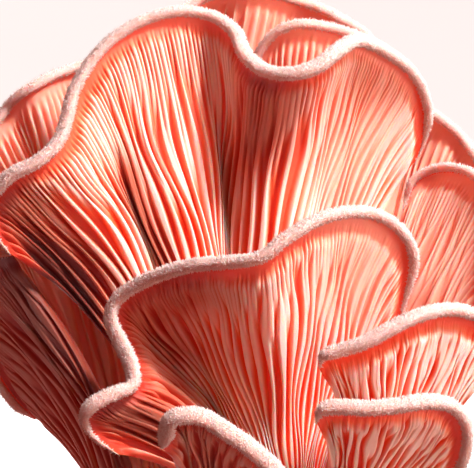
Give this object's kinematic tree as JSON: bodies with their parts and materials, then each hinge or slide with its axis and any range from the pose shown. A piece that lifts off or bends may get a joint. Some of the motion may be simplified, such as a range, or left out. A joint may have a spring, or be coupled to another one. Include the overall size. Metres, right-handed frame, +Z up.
{
  "type": "oyster mushroom cluster",
  "caption": "Cluster of ruffled, fan-shaped oyster mushrooms, gilled on one side with rolled margins, standing on one cut base.",
  "frame": {"origin": "middle of the cut base's flat underside, on the surface it stands on", "axes": "+Z up, +X to the right and +Y away from the viewer of the gilled side"},
  "size_m": [0.0825, 0.0889, 0.1011],
  "materials": {
    "pink_flesh": "matt, soft",
    "base_flesh": "matt, soft"
  },
  "bodies": {
    "root": {"cut_base": "base_flesh", "mushroom_back_large": "pink_flesh", "mushroom_front_middle": "pink_flesh", "mushroom_front_left": "pink_flesh", "mushroom_right_upper": "pink_flesh", "mushroom_right_lower": "pink_flesh", "mushroom_right_back": "pink_flesh", "mushroom_right_far": "pink_flesh", "mushroom_top_right": "pink_flesh", "mushroom_top_far": "pink_flesh", "mushroom_left": "pink_flesh", "mushroom_left_back": "pink_flesh", "mushroom_rear_left": "pink_flesh", "mushroom_rear_right": "pink_flesh", "mushroom_rear_low": "pink_flesh"}
  },
  "joints": []
}
